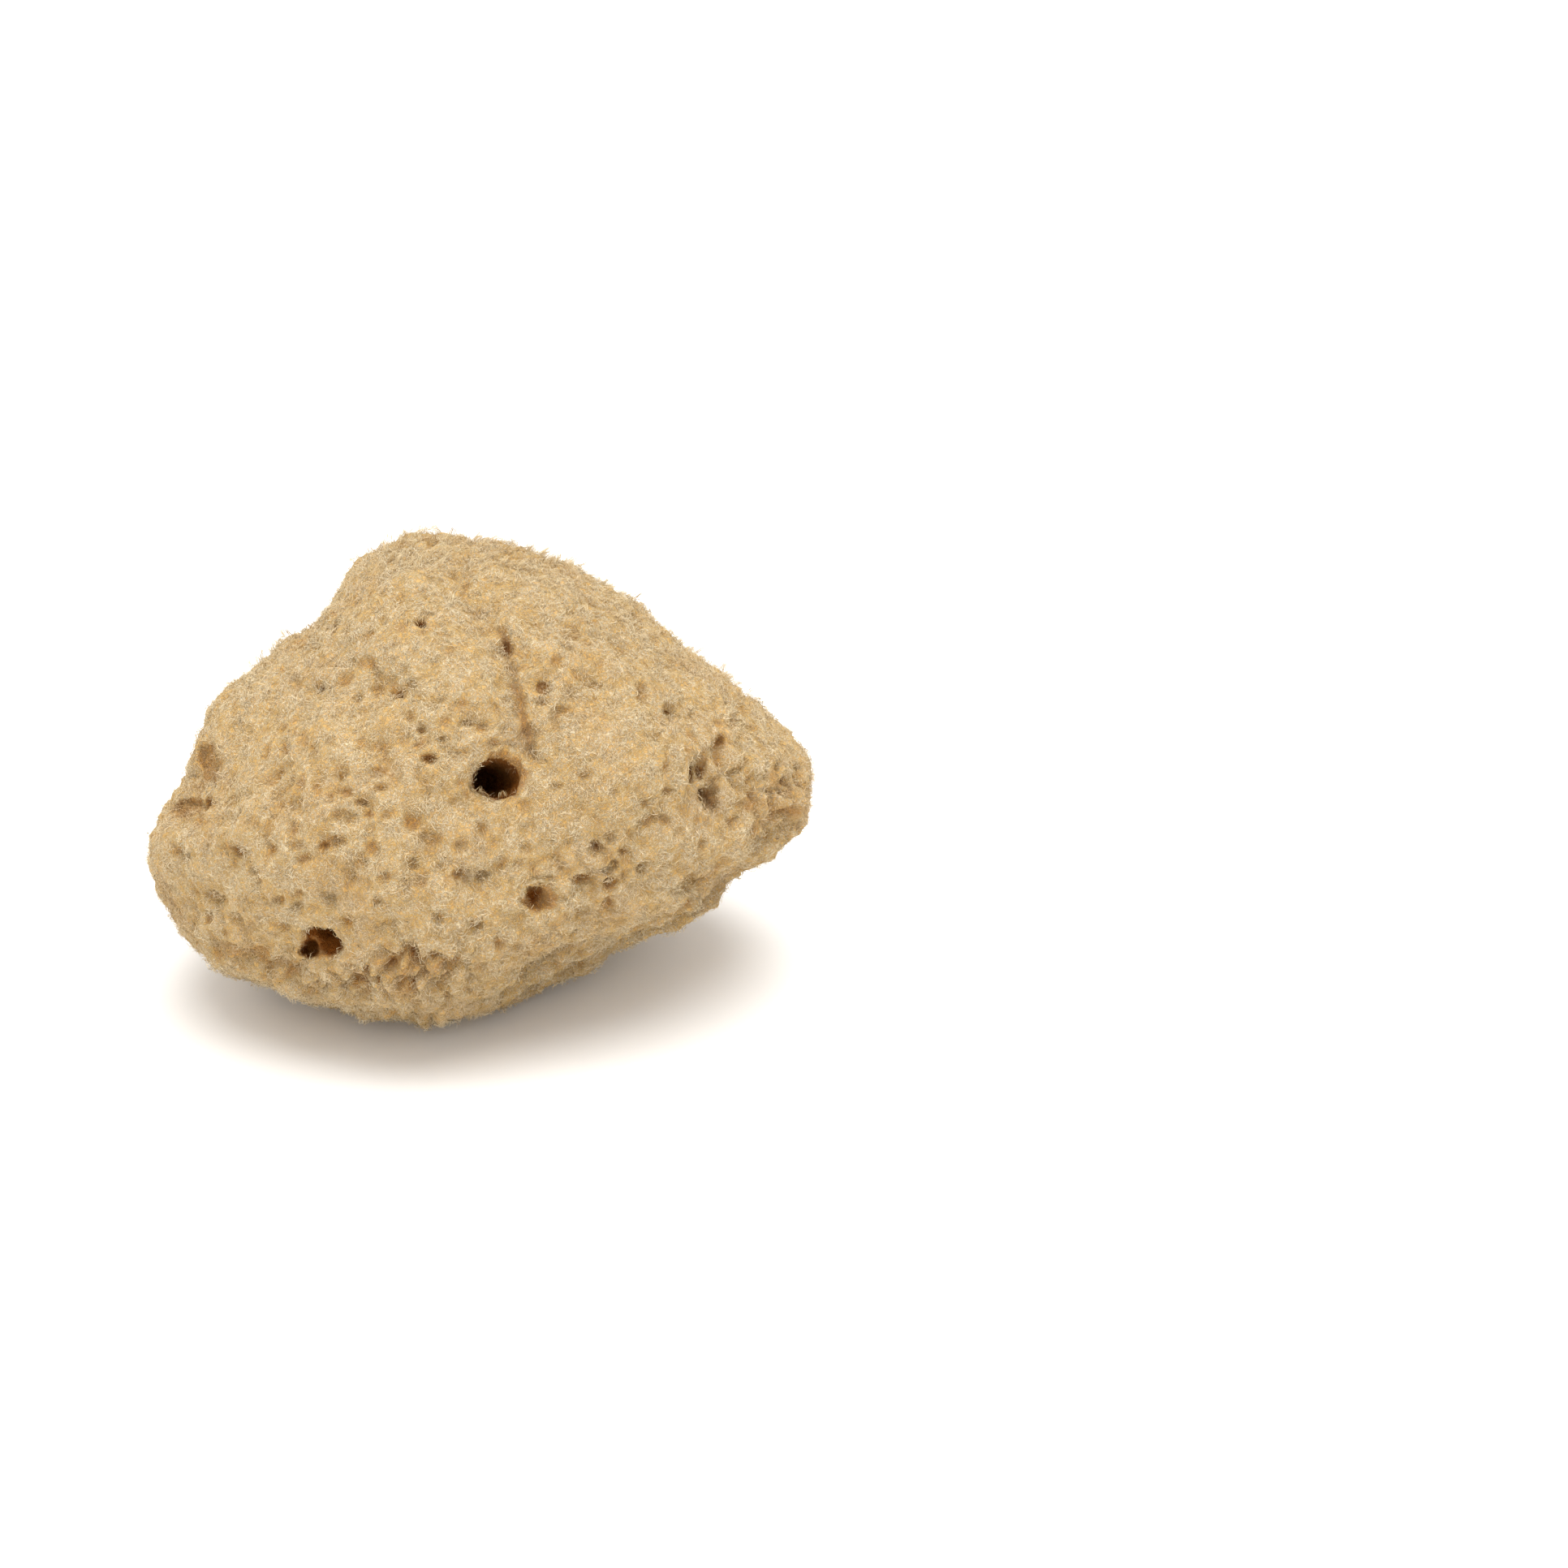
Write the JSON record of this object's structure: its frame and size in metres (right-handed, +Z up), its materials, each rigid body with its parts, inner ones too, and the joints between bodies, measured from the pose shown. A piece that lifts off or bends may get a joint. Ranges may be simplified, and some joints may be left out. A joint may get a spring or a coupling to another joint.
{
  "type": "sea sponge",
  "caption": "Natural sea sponge: a lumpy fuzzy dome with large openings, fine pores and a trimmed flat underside, for washing or display.",
  "frame": {"origin": "on the resting surface, under the middle of the sponge's box", "axes": "+X from the blunt left end to the narrow right end, +Y away from the face with the main opening, +Z up"},
  "size_m": [0.0992, 0.0764, 0.0705],
  "materials": {
    "sponge": "matte, fibrous, porous"
  },
  "bodies": {
    "root": {"sponge": "sponge"}
  },
  "joints": []
}
